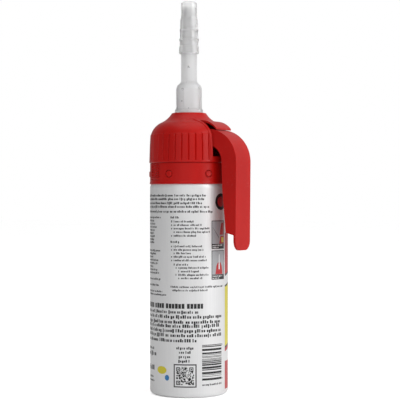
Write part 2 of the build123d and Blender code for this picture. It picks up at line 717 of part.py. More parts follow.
# ---------------------------------------------------------------- trigger lever
with BuildPart() as trigger:
    inner_bend_x = bend_x - INNER_BEND_IN
    plate_rear_x = pivot_x + GRIP_DRAFT
    with BuildSketch(Plane.XZ):
        with BuildLine():
            Line((plate_rear_x, trigger_top_z), (bend_x, trigger_top_z))
            RadiusArc((bend_x, trigger_top_z), (grip_x, bend_z), BEND_R)
            Polyline(
                (grip_x, bend_z),
                (grip_x - GRIP_DRAFT, grip_bottom_z),
                (grip_x - GRIP_DRAFT - TRIGGER_WALL, grip_bottom_z),
                (grip_x - GRIP_DRAFT - TRIGGER_WALL, side_bottom_z - SIDE_FOOT_SLOPE),
                (grip_x - SIDE_FOOT_DEPTH, side_bottom_z),
                (grip_x - SIDE_WAIST_DEPTH, bend_z - SIDE_WAIST_DROP),
                (inner_bend_x + INNER_BEND_R, bend_z),
            )
            RadiusArc((inner_bend_x + INNER_BEND_R, bend_z), (inner_bend_x, bend_z + INNER_BEND_R), -INNER_BEND_R)
            Polyline(
                (inner_bend_x, bend_z + INNER_BEND_R),
                (flange_r + NOSE_R, flange_top_z + INNER_EDGE_RISE),
                (flange_r - TRIGGER_WALL, fork_edge_z),
                (pivot_x + 1.5 * PIVOT_BOSS_R, fork_edge_z),
                (pivot_x, fork_edge_z),
                (pivot_x - PIVOT_BOSS_R, pivot_z + TRUNNION_R),
                (plate_rear_x, trigger_top_z),
            )
        make_face()
        with Locations((pivot_x, pivot_z)):
            Circle(PIVOT_BOSS_R)
        with Locations((0, flange_top_z + PRESS_GAP + NOSE_R)):
            Circle(NOSE_R)
    extrude(amount=trigger_half, both=True)
    with BuildSketch(Plane.XZ):
        with Locations((pivot_x, pivot_z)):
            Circle(TRUNNION_R)
    extrude(amount=ear_outer_y - SEAT_GAP, both=True)
    # the channel between the side walls
    with BuildSketch(Plane.XZ):
        with BuildLine():
            channel_r = BEND_R - TRIGGER_WALL
            under_plate_z = trigger_top_z - TRIGGER_WALL
            Line((2 * pivot_x, under_plate_z), (bend_x, under_plate_z))
            RadiusArc((bend_x, under_plate_z), (bend_x + channel_r, bend_z), channel_r)
            Polyline(
                (bend_x + channel_r, bend_z),
                (bend_x + channel_r - GRIP_DRAFT, grip_bottom_z),
                (2 * pivot_x, grip_bottom_z),
                (2 * pivot_x, under_plate_z),
            )
        make_face()
    extrude(amount=trigger_half - TRIGGER_WALL, both=True, mode=Mode.SUBTRACT)
    # the hole that the spigot passes through
    with BuildSketch(Plane.XY.offset(trigger_top_z - 2 * TRIGGER_WALL)):
        Circle(hole_r)
    extrude(amount=3 * TRIGGER_WALL, mode=Mode.SUBTRACT)
    # the rounded end of the finger grip
    with BuildSketch(Plane.YZ):
        with Locations((0, grip_bottom_z)):
            Rectangle(2 * TRIGGER_W, 2 * GRIP_CORNER_R)
        with Locations((0, grip_bottom_z + TRIGGER_W / 2)):
            RectangleRounded(TRIGGER_W, TRIGGER_W, GRIP_CORNER_R, mode=Mode.SUBTRACT)
    extrude(amount=2 * grip_x, mode=Mode.SUBTRACT)
trigger.part.label = "trigger"
export_step(trigger.part, "parts/trigger.step")

# ---------------------------------------------------------------- nozzle
with BuildPart() as nozzle:
    with BuildSketch(Plane.XZ):
        with BuildLine():
            chest_r = BARREL_R + CHEST_OUT
            chest_top_z = chest_z + CHEST_RISE
            Polyline(
                (nozzle_socket_r, nozzle_skirt_z),
                (nozzle_skirt_r, nozzle_skirt_z),
                (nozzle_skirt_r, nozzle_base_z - NOZZLE_SKIRT_EDGE),
                (nozzle_base_r, nozzle_base_z),
                (nozzle_base_r, chest_z),
            )
            ThreePointArc(
                (nozzle_base_r, chest_z),
                (nozzle_base_r - CHEST_ROUND, chest_z + CHEST_MID_H),
                (chest_r, chest_top_z),
            )
            ThreePointArc(
                (chest_r, chest_top_z),
                (BARREL_R + CHEST_MID_OUT, chest_top_z + CHEST_MID_H),
                (BARREL_R, barrel_z),
            )
            Polyline(
                (BARREL_R, barrel_z),
                (BARREL_R, taper_z),
                (TIP_R, tip_z),
                (NOZZLE_BORE_R, tip_z),
                (NOZZLE_BORE_R, barrel_z - CHEST_INNER_DROP),
                (nozzle_socket_r, chest_z - CHEST_INNER_DROP),
                (nozzle_socket_r, nozzle_skirt_z),
            )
        make_face()
    revolve(axis=Axis.Z)
    # four grip ribs along the wide base
    for k in range(NOZZLE_RIB_COUNT):
        rib_plane = radial_plane(
            k * 360 / NOZZLE_RIB_COUNT, (nozzle_base_z + chest_z) / 2, nozzle_base_r - NOZZLE_RIB_ROOT
        )
        with BuildSketch(rib_plane):
            Rectangle(NOZZLE_RIB_W, NOZZLE_BASE_H + 2 * NOZZLE_RIB_LAP)
        extrude(amount=NOZZLE_RIB_ROOT + NOZZLE_RIB_PROUD, taper=NOZZLE_RIB_DRAFT)
nozzle.part.label = "nozzle"
export_step(nozzle.part, "parts/nozzle.step")

# ---------------------------------------------------------------- nozzle cap
barrel_fall = (BARREL_R - TIP_R) / TIP_H


def cap_point(height, wall):
    """A point of the cap's outline, that height above its mouth and that wall outside its bore."""
    depth_below_tip = tip_z - cap_mouth_z - height
    return (TIP_R + CAP_GAP + barrel_fall * depth_below_tip + wall, cap_mouth_z + height)


with BuildPart() as nozzle_cap:
    with BuildSketch(Plane.XZ):
        with BuildLine():
            band_point = cap_point(0, CAP_WALL)
            waist = cap_point(CAP_WAIST_H, CAP_WAIST_WALL)
            collar = cap_point(CAP_COLLAR_H, CAP_COLLAR_WALL)
            neck = cap_point(CAP_NECK_H, CAP_NECK_WALL)
            bead_low = (waist[0], cap_mouth_z + CAP_BEAD_H)
            bead_high = (waist[0] - CAP_BEAD_PROUD / 2, bead_low[1] + 5 * CAP_BEAD_PROUD)
            collar_high = (collar[0] - CAP_COLLAR_PROUD / 3, collar[1] + 6 * CAP_COLLAR_PROUD)
            Polyline(
                cap_point(0, 0),
                band_point,
                (band_point[0], cap_mouth_z + CAP_BAND_H),
                waist,
                bead_low,
            )
            ThreePointArc(bead_low, shifted(bead_low, 66, 2.4 * CAP_BEAD_PROUD), bead_high)
            Line(bead_high, collar)
            ThreePointArc(collar, shifted(collar, 72, 3.2 * CAP_COLLAR_PROUD), collar_high)
            Polyline(
                collar_high,
                neck,
                (cap_top_r, neck[1] + CAP_SHOULDER_H),
                (cap_top_r, cap_top_z - CAP_CORNER_R),
            )
            RadiusArc((cap_top_r, cap_top_z - CAP_CORNER_R), (cap_top_r - CAP_CORNER_R, cap_top_z), -CAP_CORNER_R)
            Polyline(
                (cap_top_r - CAP_CORNER_R, cap_top_z),
                (0, cap_top_z),
                (0, tip_z + CAP_TIP_GAP),
                (TIP_R + CAP_GAP, tip_z + CAP_TIP_GAP),
                (TIP_R + CAP_GAP, tip_z),
                cap_point(0, 0),
            )
        make_face()
    revolve(axis=Axis.Z)
nozzle_cap.part.label = "nozzle_cap"
export_step(nozzle_cap.part, "parts/nozzle_cap.step")
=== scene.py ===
"""Finishes, printed label and stage for a pressurised caulk dispenser with a trigger housing."""

import math
import random

import bpy
from bpy.props import FloatProperty, FloatVectorProperty, IntProperty, PointerProperty
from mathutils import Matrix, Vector


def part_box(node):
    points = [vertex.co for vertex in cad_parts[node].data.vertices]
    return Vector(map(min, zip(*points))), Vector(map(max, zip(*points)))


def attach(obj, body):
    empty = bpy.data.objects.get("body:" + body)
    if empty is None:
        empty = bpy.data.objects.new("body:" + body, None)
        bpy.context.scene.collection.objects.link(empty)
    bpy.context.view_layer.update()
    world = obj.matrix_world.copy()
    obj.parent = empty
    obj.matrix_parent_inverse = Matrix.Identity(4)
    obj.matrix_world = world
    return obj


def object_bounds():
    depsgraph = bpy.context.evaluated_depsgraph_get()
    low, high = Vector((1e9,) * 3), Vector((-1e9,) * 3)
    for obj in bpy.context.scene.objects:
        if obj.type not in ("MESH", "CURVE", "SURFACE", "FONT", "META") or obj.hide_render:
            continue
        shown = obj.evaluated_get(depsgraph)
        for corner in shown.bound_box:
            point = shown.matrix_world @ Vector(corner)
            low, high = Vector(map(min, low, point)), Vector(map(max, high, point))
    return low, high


bl_info = {
    "name": "Caulk Dispenser Finishes",
    "version": (1, 0, 0),
    "blender": (4, 5, 0),
    "location": "View3D > Sidebar > Caulk",
    "description": "Finishes, printed label and stage for a pressurised caulk dispenser",
    "category": "Object",
}

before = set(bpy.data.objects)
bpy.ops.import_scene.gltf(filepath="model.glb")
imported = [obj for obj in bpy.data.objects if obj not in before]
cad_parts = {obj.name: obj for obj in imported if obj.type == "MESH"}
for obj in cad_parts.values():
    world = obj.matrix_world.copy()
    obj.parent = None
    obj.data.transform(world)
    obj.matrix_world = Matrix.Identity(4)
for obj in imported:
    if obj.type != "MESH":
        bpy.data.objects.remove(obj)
CAD_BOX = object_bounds()
MM = 0.001
CAN_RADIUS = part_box("can")[1].x

# Angles are in degrees from +X, round the can, and heights in millimetres above its foot.
COPY_START = -150.0
FRONT_START, FRONT_END, FRONT_ARCH = 6.0, 204.0, 6.0

# Greeked copy, as shares of the line's size.
BLOCK_PITCH = 0.56
BELOW_MIDDLE = 0.36
WORD_GAP = 0.55

# The square of random blocks.
CODE_CELLS = 19
CODE_CORNER = 5
CODE_FILL = 0.46

# Surface values shared by the materials.
MOULD_SPREAD = 0.14
METAL_SPREAD = 0.12
BUMP_STRENGTH = 0.35
STREAK_DEPTH = 0.000006

# Stage
VIEW_TURN = 30
FLOOR_REACH = 6.0


# ------------------------------------------------------------------ sizes and colours
def colour(name, description, default):
    return FloatVectorProperty(
        name=name, description=description, default=default, subtype="COLOR", size=3, min=0.0, max=1.0
    )


class CAULK_PG_finishes(bpy.types.PropertyGroup):
    """Colours and surface sizes of the moulded and metal pieces."""

    red: colour("Red", "Moulded red of the housing, band and lever", (0.50, 0.0045, 0.0028))
    red_pale: colour("Pale red", "Flow marks in the red", (0.55, 0.007, 0.0045))
    natural: colour("Natural", "Translucent nozzle plastic", (0.92, 0.92, 0.925))
    pearl: colour("Pearl", "Glossy nozzle cap plastic", (0.99, 0.99, 0.99))
    white: colour("White", "Moulded white of the adapter and plug", (0.80, 0.80, 0.78))
    rubber: colour("Rubber", "Valve rubber", (0.03, 0.03, 0.032))
    tin: colour("Tinplate", "Valve cup metal", (0.70, 0.70, 0.68))
    silver: colour("Can silver", "Pale silver lacquer of the can", (0.86, 0.86, 0.865))
    silver_shade: colour("Can streak", "Drawing streaks under the lacquer", (0.82, 0.82, 0.825))
    bump: FloatProperty(
        name="Grain depth",
        description="Depth of the moulded grain",
        default=0.00002,
        unit="LENGTH",
        min=0.0,
    )


class CAULK_PG_print(bpy.types.PropertyGroup):
    """Inks and sizes of the printed label."""

    black: colour("Black ink", "Headline, codes and rules", (0.012, 0.012, 0.013))
    grey: colour("Grey ink", "Small copy", (0.03, 0.03, 0.033))
    field: colour("Grey field", "Ground of the picture boxes", (0.42, 0.43, 0.45))
    red: colour("Red ink", "Front fields and picture shapes", (0.50, 0.018, 0.022))
    yellow: colour("Yellow ink", "Front field", (0.72, 0.62, 0.022))
    blue: colour("Blue ink", "Small spot", (0.02, 0.20, 0.50))
    paper: colour("White ink", "Reversed shapes", (0.84, 0.84, 0.84))
    lift: FloatProperty(
        name="Ink lift",
        description="Height of the ink over the can",
        default=0.00003,
        unit="LENGTH",
        min=0.0,
    )
    seed: IntProperty(name="Seed", description="Word and block pattern", default=7, min=0)


class CAULK_PG_stage(bpy.types.PropertyGroup):
    """Camera, lights and floor."""

    lens: FloatProperty(name="Lens", description="Focal length", default=115.5, min=1.0, unit="CAMERA")
    distance: FloatProperty(
        name="Distance", description="Camera from the axis", default=0.875, unit="LENGTH"
    )
    side_step: FloatProperty(name="Side step", description="Camera across", default=0.0075, unit="LENGTH")
    height: FloatProperty(name="Height", description="Camera height", default=0.1315, unit="LENGTH")
    key: FloatProperty(name="Key light", description="Right softbox power", default=5.6, unit="POWER")
    fill: FloatProperty(name="Fill light", description="Left softbox power", default=2.2, unit="POWER")
    top: FloatProperty(name="Top light", description="Overhead softbox power", default=5.0, unit="POWER")
    floor_glow: FloatProperty(
        name="Floor glow", description="Keeps the floor pale to the eye", default=0.6, min=0.0
    )
    room: FloatProperty(name="Room", description="Brightness of the pale room", default=0.42, min=0.0)


# ------------------------------------------------------------------ shader helpers
def add_node(tree, kind, inputs=None, **settings):
    """Adds a node, with its settings and its unlinked inputs."""
    node = tree.nodes.new(kind)
    for key, value in settings.items():
        setattr(node, key, value)
    for key, value in (inputs or {}).items():
        node.inputs[key].default_value = value
    return node


def mix_colour(tree, factor, first, second):
    """A colour mix, each argument a socket."""
    node = add_node(tree, "ShaderNodeMix", data_type="RGBA")
    tree.links.new(factor, node.inputs[0])
    tree.links.new(first, node.inputs[6])
    tree.links.new(second, node.inputs[7])
    return node.outputs[2]


def math_node(tree, operation, first, second=None):
    """A math node. Each argument is a socket or a number."""
    node = add_node(tree, "ShaderNodeMath", operation=operation)
    for socket, value in zip(node.inputs, (first, second)):
        if isinstance(value, bpy.types.NodeSocket):
            tree.links.new(value, socket)
        elif value is not None:
            socket.default_value = value
    return node.outputs[0]


def noise(tree, vector, scale, detail=3.0, roughness=0.5):
    node = add_node(tree, "ShaderNodeTexNoise", {"Detail": detail, "Roughness": roughness})
    tree.links.new(vector, node.inputs["Vector"])
    if isinstance(scale, bpy.types.NodeSocket):
        tree.links.new(scale, node.inputs["Scale"])
    else:
        node.inputs["Scale"].default_value = scale
    return node.outputs["Fac"]


def spread(tree, value, low, high):
    """Stretches low..high of a value to 0..1."""
    node = add_node(tree, "ShaderNodeMapRange", {"From Min": low, "From Max": high})
    tree.links.new(value, node.inputs["Value"])
    return node.outputs["Result"]


def stretched(tree, vector, scale):
    node = add_node(tree, "ShaderNodeVectorMath", operation="MULTIPLY")
    tree.links.new(vector, node.inputs[0])
    node.inputs[1].default_value = scale
    return node.outputs["Vector"]


def effect(name, inputs, outputs):
    """An empty shader node group with named sockets. Returns its tree, inputs and outputs."""
    tree = bpy.data.node_groups.new(name, "ShaderNodeTree")
    for label, kind, default in inputs:
        socket = tree.interface.new_socket(name=label, in_out="INPUT", socket_type="NodeSocket" + kind)
        socket.default_value = default
    for label, kind in outputs:
        tree.interface.new_socket(name=label, in_out="OUTPUT", socket_type="NodeSocket" + kind)
    return tree, add_node(tree, "NodeGroupInput").outputs, add_node(tree, "NodeGroupOutput").inputs


def varied_roughness(tree, base, amount, mask):
    """Roughness that moves by half the amount each way."""
    centred = math_node(tree, "SUBTRACT", mask, 0.5)
    return math_node(tree, "ADD", base, math_node(tree, "MULTIPLY", centred, amount))


def moulded_skin():
    """Fine grain and faint flow marks of a moulded surface."""
    if "moulded_skin" in bpy.data.node_groups:
        return bpy.data.node_groups["moulded_skin"]
    tree, given, out = effect(
        "moulded_skin",
        [
            ("Colour", "Color", (0.8, 0.8, 0.8, 1)),
            ("Pale Colour", "Color", (0.9, 0.9, 0.9, 1)),
            ("Roughness", "Float", 0.4),
            ("Spread", "Float", 0.1),
            ("Grain Scale", "Float", 3000.0),
        ],
        [("Colour", "Color"), ("Roughness", "Float"), ("Height", "Float")],
    )
    place = add_node(tree, "ShaderNodeTexCoord").outputs["Object"]
    flow = spread(tree, noise(tree, stretched(tree, place, (1, 1, 0.35)), 85.0, 4.0), 0.35, 0.65)
    tree.links.new(mix_colour(tree, flow, given["Colour"], given["Pale Colour"]), out["Colour"])
    patches = noise(tree, place, 240.0, 5.0, 0.6)
    tree.links.new(varied_roughness(tree, given["Roughness"], given["Spread"], patches), out["Roughness"])
    tree.links.new(noise(tree, place, given["Grain Scale"], 2.0), out["Height"])
    return tree


def drawn_streaks():
    """Long fine streaks that run up a drawn metal wall."""
    if "drawn_streaks" in bpy.data.node_groups:
        return bpy.data.node_groups["drawn_streaks"]
    tree, given, out = effect(
        "drawn_streaks",
        [
            ("Colour", "Color", (0.8, 0.8, 0.8, 1)),
            ("Streak Colour", "Color", (0.7, 0.7, 0.7, 1)),
            ("Roughness", "Float", 0.3),
            ("Spread", "Float", 0.1),
        ],
        [("Colour", "Color"), ("Roughness", "Float"), ("Height", "Float")],
    )
    place = add_node(tree, "ShaderNodeTexCoord").outputs["Object"]
    streak = noise(tree, stretched(tree, place, (1, 1, 0.012)), 1500.0, 4.0, 0.6)
    mask = spread(tree, streak, 0.3, 0.7)
    tree.links.new(mix_colour(tree, mask, given["Colour"], given["Streak Colour"]), out["Colour"])
    tree.links.new(varied_roughness(tree, given["Roughness"], given["Spread"], streak), out["Roughness"])
    tree.links.new(streak, out["Height"])
    return tree


def handling_scuffs():
    """Sparse short rub marks, brighter where the mask is high."""
    if "handling_scuffs" in bpy.data.node_groups:
        return bpy.data.node_groups["handling_scuffs"]
    tree, given, out = effect("handling_scuffs", [("Amount", "Float", 0.1)], [("Mask", "Float")])
    place = add_node(tree, "ShaderNodeTexCoord").outputs["Object"]
    lines = noise(tree, stretched(tree, place, (1, 0.12, 1.6)), 520.0, 6.0, 0.7)
    where = noise(tree, place, 38.0, 2.0)
    rubbed = math_node(
        tree, "MULTIPLY", spread(tree, lines, 0.62, 0.74), spread(tree, where, 0.48, 0.68)
    )
    tree.links.new(math_node(tree, "MULTIPLY", rubbed, given["Amount"]), out["Mask"])
    return tree


def settled_dust():
    """A thin film on faces that look up."""
    if "settled_dust" in bpy.data.node_groups:
        return bpy.data.node_groups["settled_dust"]
    tree, given, out = effect("settled_dust", [("Amount", "Float", 0.1)], [("Mask", "Float")])
    parts = add_node(tree, "ShaderNodeSeparateXYZ")
    tree.links.new(add_node(tree, "ShaderNodeNewGeometry").outputs["Normal"], parts.inputs[0])
    up = spread(tree, parts.outputs["Z"], 0.55, 1.0)
    speck = noise(tree, add_node(tree, "ShaderNodeTexCoord").outputs["Object"], 900.0, 4.0, 0.7)
    film = math_node(tree, "MULTIPLY", up, spread(tree, speck, 0.3, 0.8))
    tree.links.new(math_node(tree, "MULTIPLY", film, given["Amount"]), out["Mask"])
    return tree


def ink_film():
    """Printed ink with faint unevenness."""
    if "ink_film" in bpy.data.node_groups:
        return bpy.data.node_groups["ink_film"]
    tree, given, out = effect(
        "ink_film",
        [("Colour", "Color", (0, 0, 0, 1)), ("Thin Colour", "Color", (0.1, 0.1, 0.1, 1))],
        [("Colour", "Color"), ("Roughness", "Float")],
    )
    place = add_node(tree, "ShaderNodeTexCoord").outputs["Object"]
    cloud = noise(tree, place, 700.0, 3.0)
    thin = spread(tree, cloud, 0.5, 0.9)
    tree.links.new(mix_colour(tree, thin, given["Colour"], given["Thin Colour"]), out["Colour"])
    tree.links.new(varied_roughness(tree, 0.36, 0.12, cloud), out["Roughness"])
    return tree


def placed(tree, group, **values):
    """A group node in a material, with its own values (underscores stand for spaces)."""
    node = add_node(tree, "ShaderNodeGroup", node_tree=group)
    for key, value in values.items():
        node.inputs[key.replace("_", " ")].default_value = value
    return node


def opaque(rgb):
    return (rgb[0], rgb[1], rgb[2], 1.0)


def new_material(name):
    """A material with its Principled shader, and nothing else."""
    material = bpy.data.materials.new(name)
    material.use_nodes = True
    tree = material.node_tree
    return material, tree, tree.nodes["Principled BSDF"]


def set_inputs(shader, values):
    for key, value in values.items():
        shader.inputs[key].default_value = value


def with_bump(tree, shader, height, distance):
    bump = add_node(tree, "ShaderNodeBump", {"Strength": BUMP_STRENGTH, "Distance": distance})
    tree.links.new(height, bump.inputs["Height"])
    tree.links.new(bump.outputs["Normal"], shader.inputs["Normal"])


def moulded(name, base, pale, roughness=0.4, grain=3000.0, scuffs=0.0, dust=0.0, bump=0.00002, **uniform):
    """A moulded plastic or rubber: grain, flow marks, and where asked scuffs and dust."""
    material, tree, shader = new_material(name)
    skin = placed(
        tree,
        moulded_skin(),
        Colour=opaque(base),
        Pale_Colour=opaque(pale),
        Roughness=roughness,
        Spread=MOULD_SPREAD,
        Grain_Scale=grain,
    )
    tint, rough = skin.outputs["Colour"], skin.outputs["Roughness"]
    if scuffs:
        mask = placed(tree, handling_scuffs(), Amount=scuffs).outputs["Mask"]
        worn = opaque([0.5 + 0.5 * c for c in pale])
        rubbed = add_node(tree, "ShaderNodeMix", {7: worn}, data_type="RGBA")
        tree.links.new(mask, rubbed.inputs[0])
        tree.links.new(tint, rubbed.inputs[6])
        tint = rubbed.outputs[2]
        rough = math_node(tree, "ADD", rough, mask)
    if dust:
        mask = placed(tree, settled_dust(), Amount=dust).outputs["Mask"]
        dusty = add_node(tree, "ShaderNodeMix", {7: (0.75, 0.73, 0.70, 1)}, data_type="RGBA")
        tree.links.new(mask, dusty.inputs[0])
        tree.links.new(tint, dusty.inputs[6])
        tint = dusty.outputs[2]
        rough = math_node(tree, "ADD", rough, mask)
    tree.links.new(tint, shader.inputs["Base Color"])
    tree.links.new(rough, shader.inputs["Roughness"])
    with_bump(tree, shader, skin.outputs["Height"], bump)
    set_inputs(shader, {key.replace("_", " "): value for key, value in uniform.items()})
    return material


def metal(name, base, streak, roughness, scuffs=0.0, **uniform):
    """A drawn metal or a lacquer over it."""
    material, tree, shader = new_material(name)
    drawn = placed(
        tree,
        drawn_streaks(),
        Colour=opaque(base),
        Streak_Colour=opaque(streak),
        Roughness=roughness,
        Spread=METAL_SPREAD,
    )
    rough = drawn.outputs["Roughness"]
    if scuffs:
        mask = placed(tree, handling_scuffs(), Amount=scuffs).outputs["Mask"]
        rough = math_node(tree, "ADD", rough, mask)
    tree.links.new(drawn.outputs["Colour"], shader.inputs["Base Color"])
    tree.links.new(rough, shader.inputs["Roughness"])
    with_bump(tree, shader, drawn.outputs["Height"], STREAK_DEPTH)
    set_inputs(shader, {key.replace("_", " "): value for key, value in uniform.items()})
    return material


def ink(name, base):
    """A printed ink."""
    material, tree, shader = new_material(name)
    film = placed(
        tree, ink_film(), Colour=opaque(base), Thin_Colour=opaque([0.93 * c + 0.07 * 0.7 for c in base])
    )
    tree.links.new(film.outputs["Colour"], shader.inputs["Base Color"])
    tree.links.new(film.outputs["Roughness"], shader.inputs["Roughness"])
    set_inputs(shader, {"Coat Weight": 0.25, "Coat Roughness": 0.2})
    return material


def give(material, *nodes):
    """Puts a material on CAD nodes."""
    for name in nodes:
        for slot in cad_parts[name].material_slots:
            slot.material = material


# ------------------------------------------------------------------ print helpers
INKS = ("black", "grey", "field", "red", "yellow", "blue", "paper")


class Print:
    """Collects patches that wrap round the can, and makes them one object."""

    def __init__(self, lift):
        self.lift = lift
        self.points, self.faces, self.inks, self.normals = [], [], [], []

    def patch(self, corners, ink_name, layer=0):
        """Four corners (angle, height): low left, low right, high right, high left."""
        low_left, low_right, high_right, high_left = corners
        sweep = max(abs(low_right[0] - low_left[0]), abs(high_right[0] - high_left[0]))
        lean = max(abs(high_left[0] - low_left[0]), abs(high_right[0] - low_right[0]))
        columns, rows = max(1, math.ceil(sweep / 4)), max(1, math.ceil(lean / 3))
        radius = CAN_RADIUS + self.lift * (1 + layer)
        first = len(self.points)
        for row in range(rows + 1):
            v = row / rows
            left = [a + (b - a) * v for a, b in zip(low_left, high_left)]
            right = [a + (b - a) * v for a, b in zip(low_right, high_right)]
            for column in range(columns + 1):
                u = column / columns
                angle, height = (a + (b - a) * u for a, b in zip(left, right))
                c, s = math.cos(math.radians(angle)), math.sin(math.radians(angle))
                self.points.append((radius * c, radius * s, height * MM))
                self.normals.append((c, s, 0.0))
        for row in range(rows):
            for column in range(columns):
                k = first + row * (columns + 1) + column
                self.faces.append((k, k + 1, k + columns + 2, k + columns + 1))
                self.inks.append(INKS.index(ink_name))

    def block(self, start, end, low, high, ink_name, layer=0):
        """A patch with upright ends and level edges."""
        self.patch(((start, low), (end, low), (end, high), (start, high)), ink_name, layer)

    def disc(self, angle, height, radius, ink_name, layer=0, tall=1.0, steps=20):
        """A round spot, radius in millimetres, as level strips."""
        for k in range(steps):
            low, high = -1 + 2 * k / steps, -1 + 2 * (k + 1) / steps
            half_low, half_high = (
                math.degrees(radius * MM * math.sqrt(max(0.0, 1 - v * v)) / CAN_RADIUS) for v in (low, high)
            )
            bottom, top = height + low * radius * tall, height + high * radius * tall
            self.patch(
                (
                    (angle - half_low, bottom),
                    (angle + half_low, bottom),
                    (angle + half_high, top),
                    (angle - half_high, top),
                ),
                ink_name,
                layer,
            )

    def outline(self, start, end, low, high, width, ink_name, layer=0):
        """A frame, its line width in millimetres."""
        side = math.degrees(width * MM / CAN_RADIUS)
        self.block(start, end, low, low + width, ink_name, layer)
        self.block(start, end, high - width, high, ink_name, layer)
        self.block(start, start + side, low + width, high - width, ink_name, layer)
        self.block(end - side, end, low + width, high - width, ink_name, layer)

    def copy_line(self, rng, start, end, height, size, ink_name="grey", layer=0, bold=False):
        """A line of greeked copy: words of plain upright blocks, about height, with no letter shapes."""
        pitch = math.degrees(BLOCK_PITCH * size * MM / CAN_RADIUS)
        heights = (0.76, 0.8, 0.8) if bold else (0.58, 0.58, 0.58, 0.82, 0.58, 0.8)
        widths = (0.72, 0.8, 0.84) if bold else (0.5, 0.7, 0.76, 0.82)
        angle = start
        while angle < end - pitch:
            for _ in range(rng.randint(2, 8)):
                if angle > end - pitch:
                    break
                tall = rng.choice(heights)
                drop = 0.0 if bold or rng.random() > 0.1 else 0.2
                wide = rng.choice(widths)
                self.block(
                    angle,
                    angle + pitch * wide,
                    height + (-BELOW_MIDDLE - drop) * size,
                    height + (-BELOW_MIDDLE + tall) * size,
                    ink_name,
                    layer,
                )
                angle += pitch
            angle += WORD_GAP * pitch

    def make(self, name, materials):
        mesh = bpy.data.meshes.new(name)
        mesh.from_pydata(self.points, [], self.faces)
        used = sorted(set(self.inks))
        for k in used:
            mesh.materials.append(materials[INKS[k]])
        mesh.polygons.foreach_set("material_index", [used.index(k) for k in self.inks])
        mesh.polygons.foreach_set("use_smooth", [True] * len(self.faces))
        mesh.normals_split_custom_set_from_vertices(self.normals)
        piece = bpy.data.objects.new(name, mesh)
        bpy.context.scene.collection.objects.link(piece)
        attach(piece, "container")
        return piece


def print_inks(settings):
    """The printed inks, made once."""
    return {
        name: bpy.data.materials.get("ink_" + name) or ink("ink_" + name, getattr(settings, name))
        for name in INKS
    }


# ------------------------------------------------------------------ operators
class CAULK_OT_can(bpy.types.Operator):
    """Give the can its pale silver lacquer"""

    bl_idname = "caulk.can"
    bl_label = "Can"

    def execute(self, context):
        s = context.scene.caulk_finishes
        lacquer = metal(
            "can_lacquer",
            s.silver,
            s.silver_shade,
            0.36,
            scuffs=0.12,
            Metallic=0.25,
            Coat_Weight=0.3,
            Coat_Roughness=0.12,
        )
        give(lacquer, "can")
        return {"FINISHED"}


class CAULK_OT_front(bpy.types.Operator):
    """Print the arched fields of colour on the front of the can"""

    bl_idname = "caulk.front"
    bl_label = "Front fields"

    def execute(self, context):
        s = context.scene.caulk_print
        label = Print(s.lift)
        start, end = FRONT_START, FRONT_END

        def arched(low, high, ink_name, layer=0):
            steps = 33
            for k in range(steps):
                left, right = (start + (end - start) * (k + n) / steps for n in (0, 1))
                rise_left, rise_right = (
                    FRONT_ARCH * math.sin(math.pi * (a - start) / (end - start)) for a in (left, right)
                )
                label.patch(
                    (
                        (left, low + rise_left),
                        (right, low + rise_right),
                        (right, high + rise_right),
                        (left, high + rise_left),
                    ),
                    ink_name,
                    layer,
                )

        label.block(start, end, 4.4, 23.2, "red")
        arched(29.6, 31.9, "red")
        arched(31.9, 33.2, "black")
        arched(33.2, 73.0, "yellow")
        arched(73.0, 74.2, "black")
        arched(80.4, 81.6, "black")
        arched(81.6, 109.3, "red")
        rng = random.Random(s.seed)
        # greeked headline and a plain bead of caulk
        for height, size in ((105.0, 9.0), (95.5, 6.0)):
            label.copy_line(rng, 52, 158, height, size, "paper", 1)
        for height in (66.0, 62.0, 43.0, 39.5):
            label.copy_line(rng, 66, 144, height, 2.6, "black", 1)
        for k in range(24):
            left, right = 55 + 4.2 * k, 55 + 4.2 * (k + 1)
            low, high = (52.5 + 2.6 * math.sin(math.radians(5 * (a - 55))) for a in (left, right))
            label.patch(((left, low), (right, high), (right, high + 4.2), (left, low + 4.2)), "paper", 1)
        for height in (17.0, 13.0):
            label.copy_line(rng, 60, 150, height, 2.6, "paper", 1)
        label.make("label_front", print_inks(s))
        return {"FINISHED"}


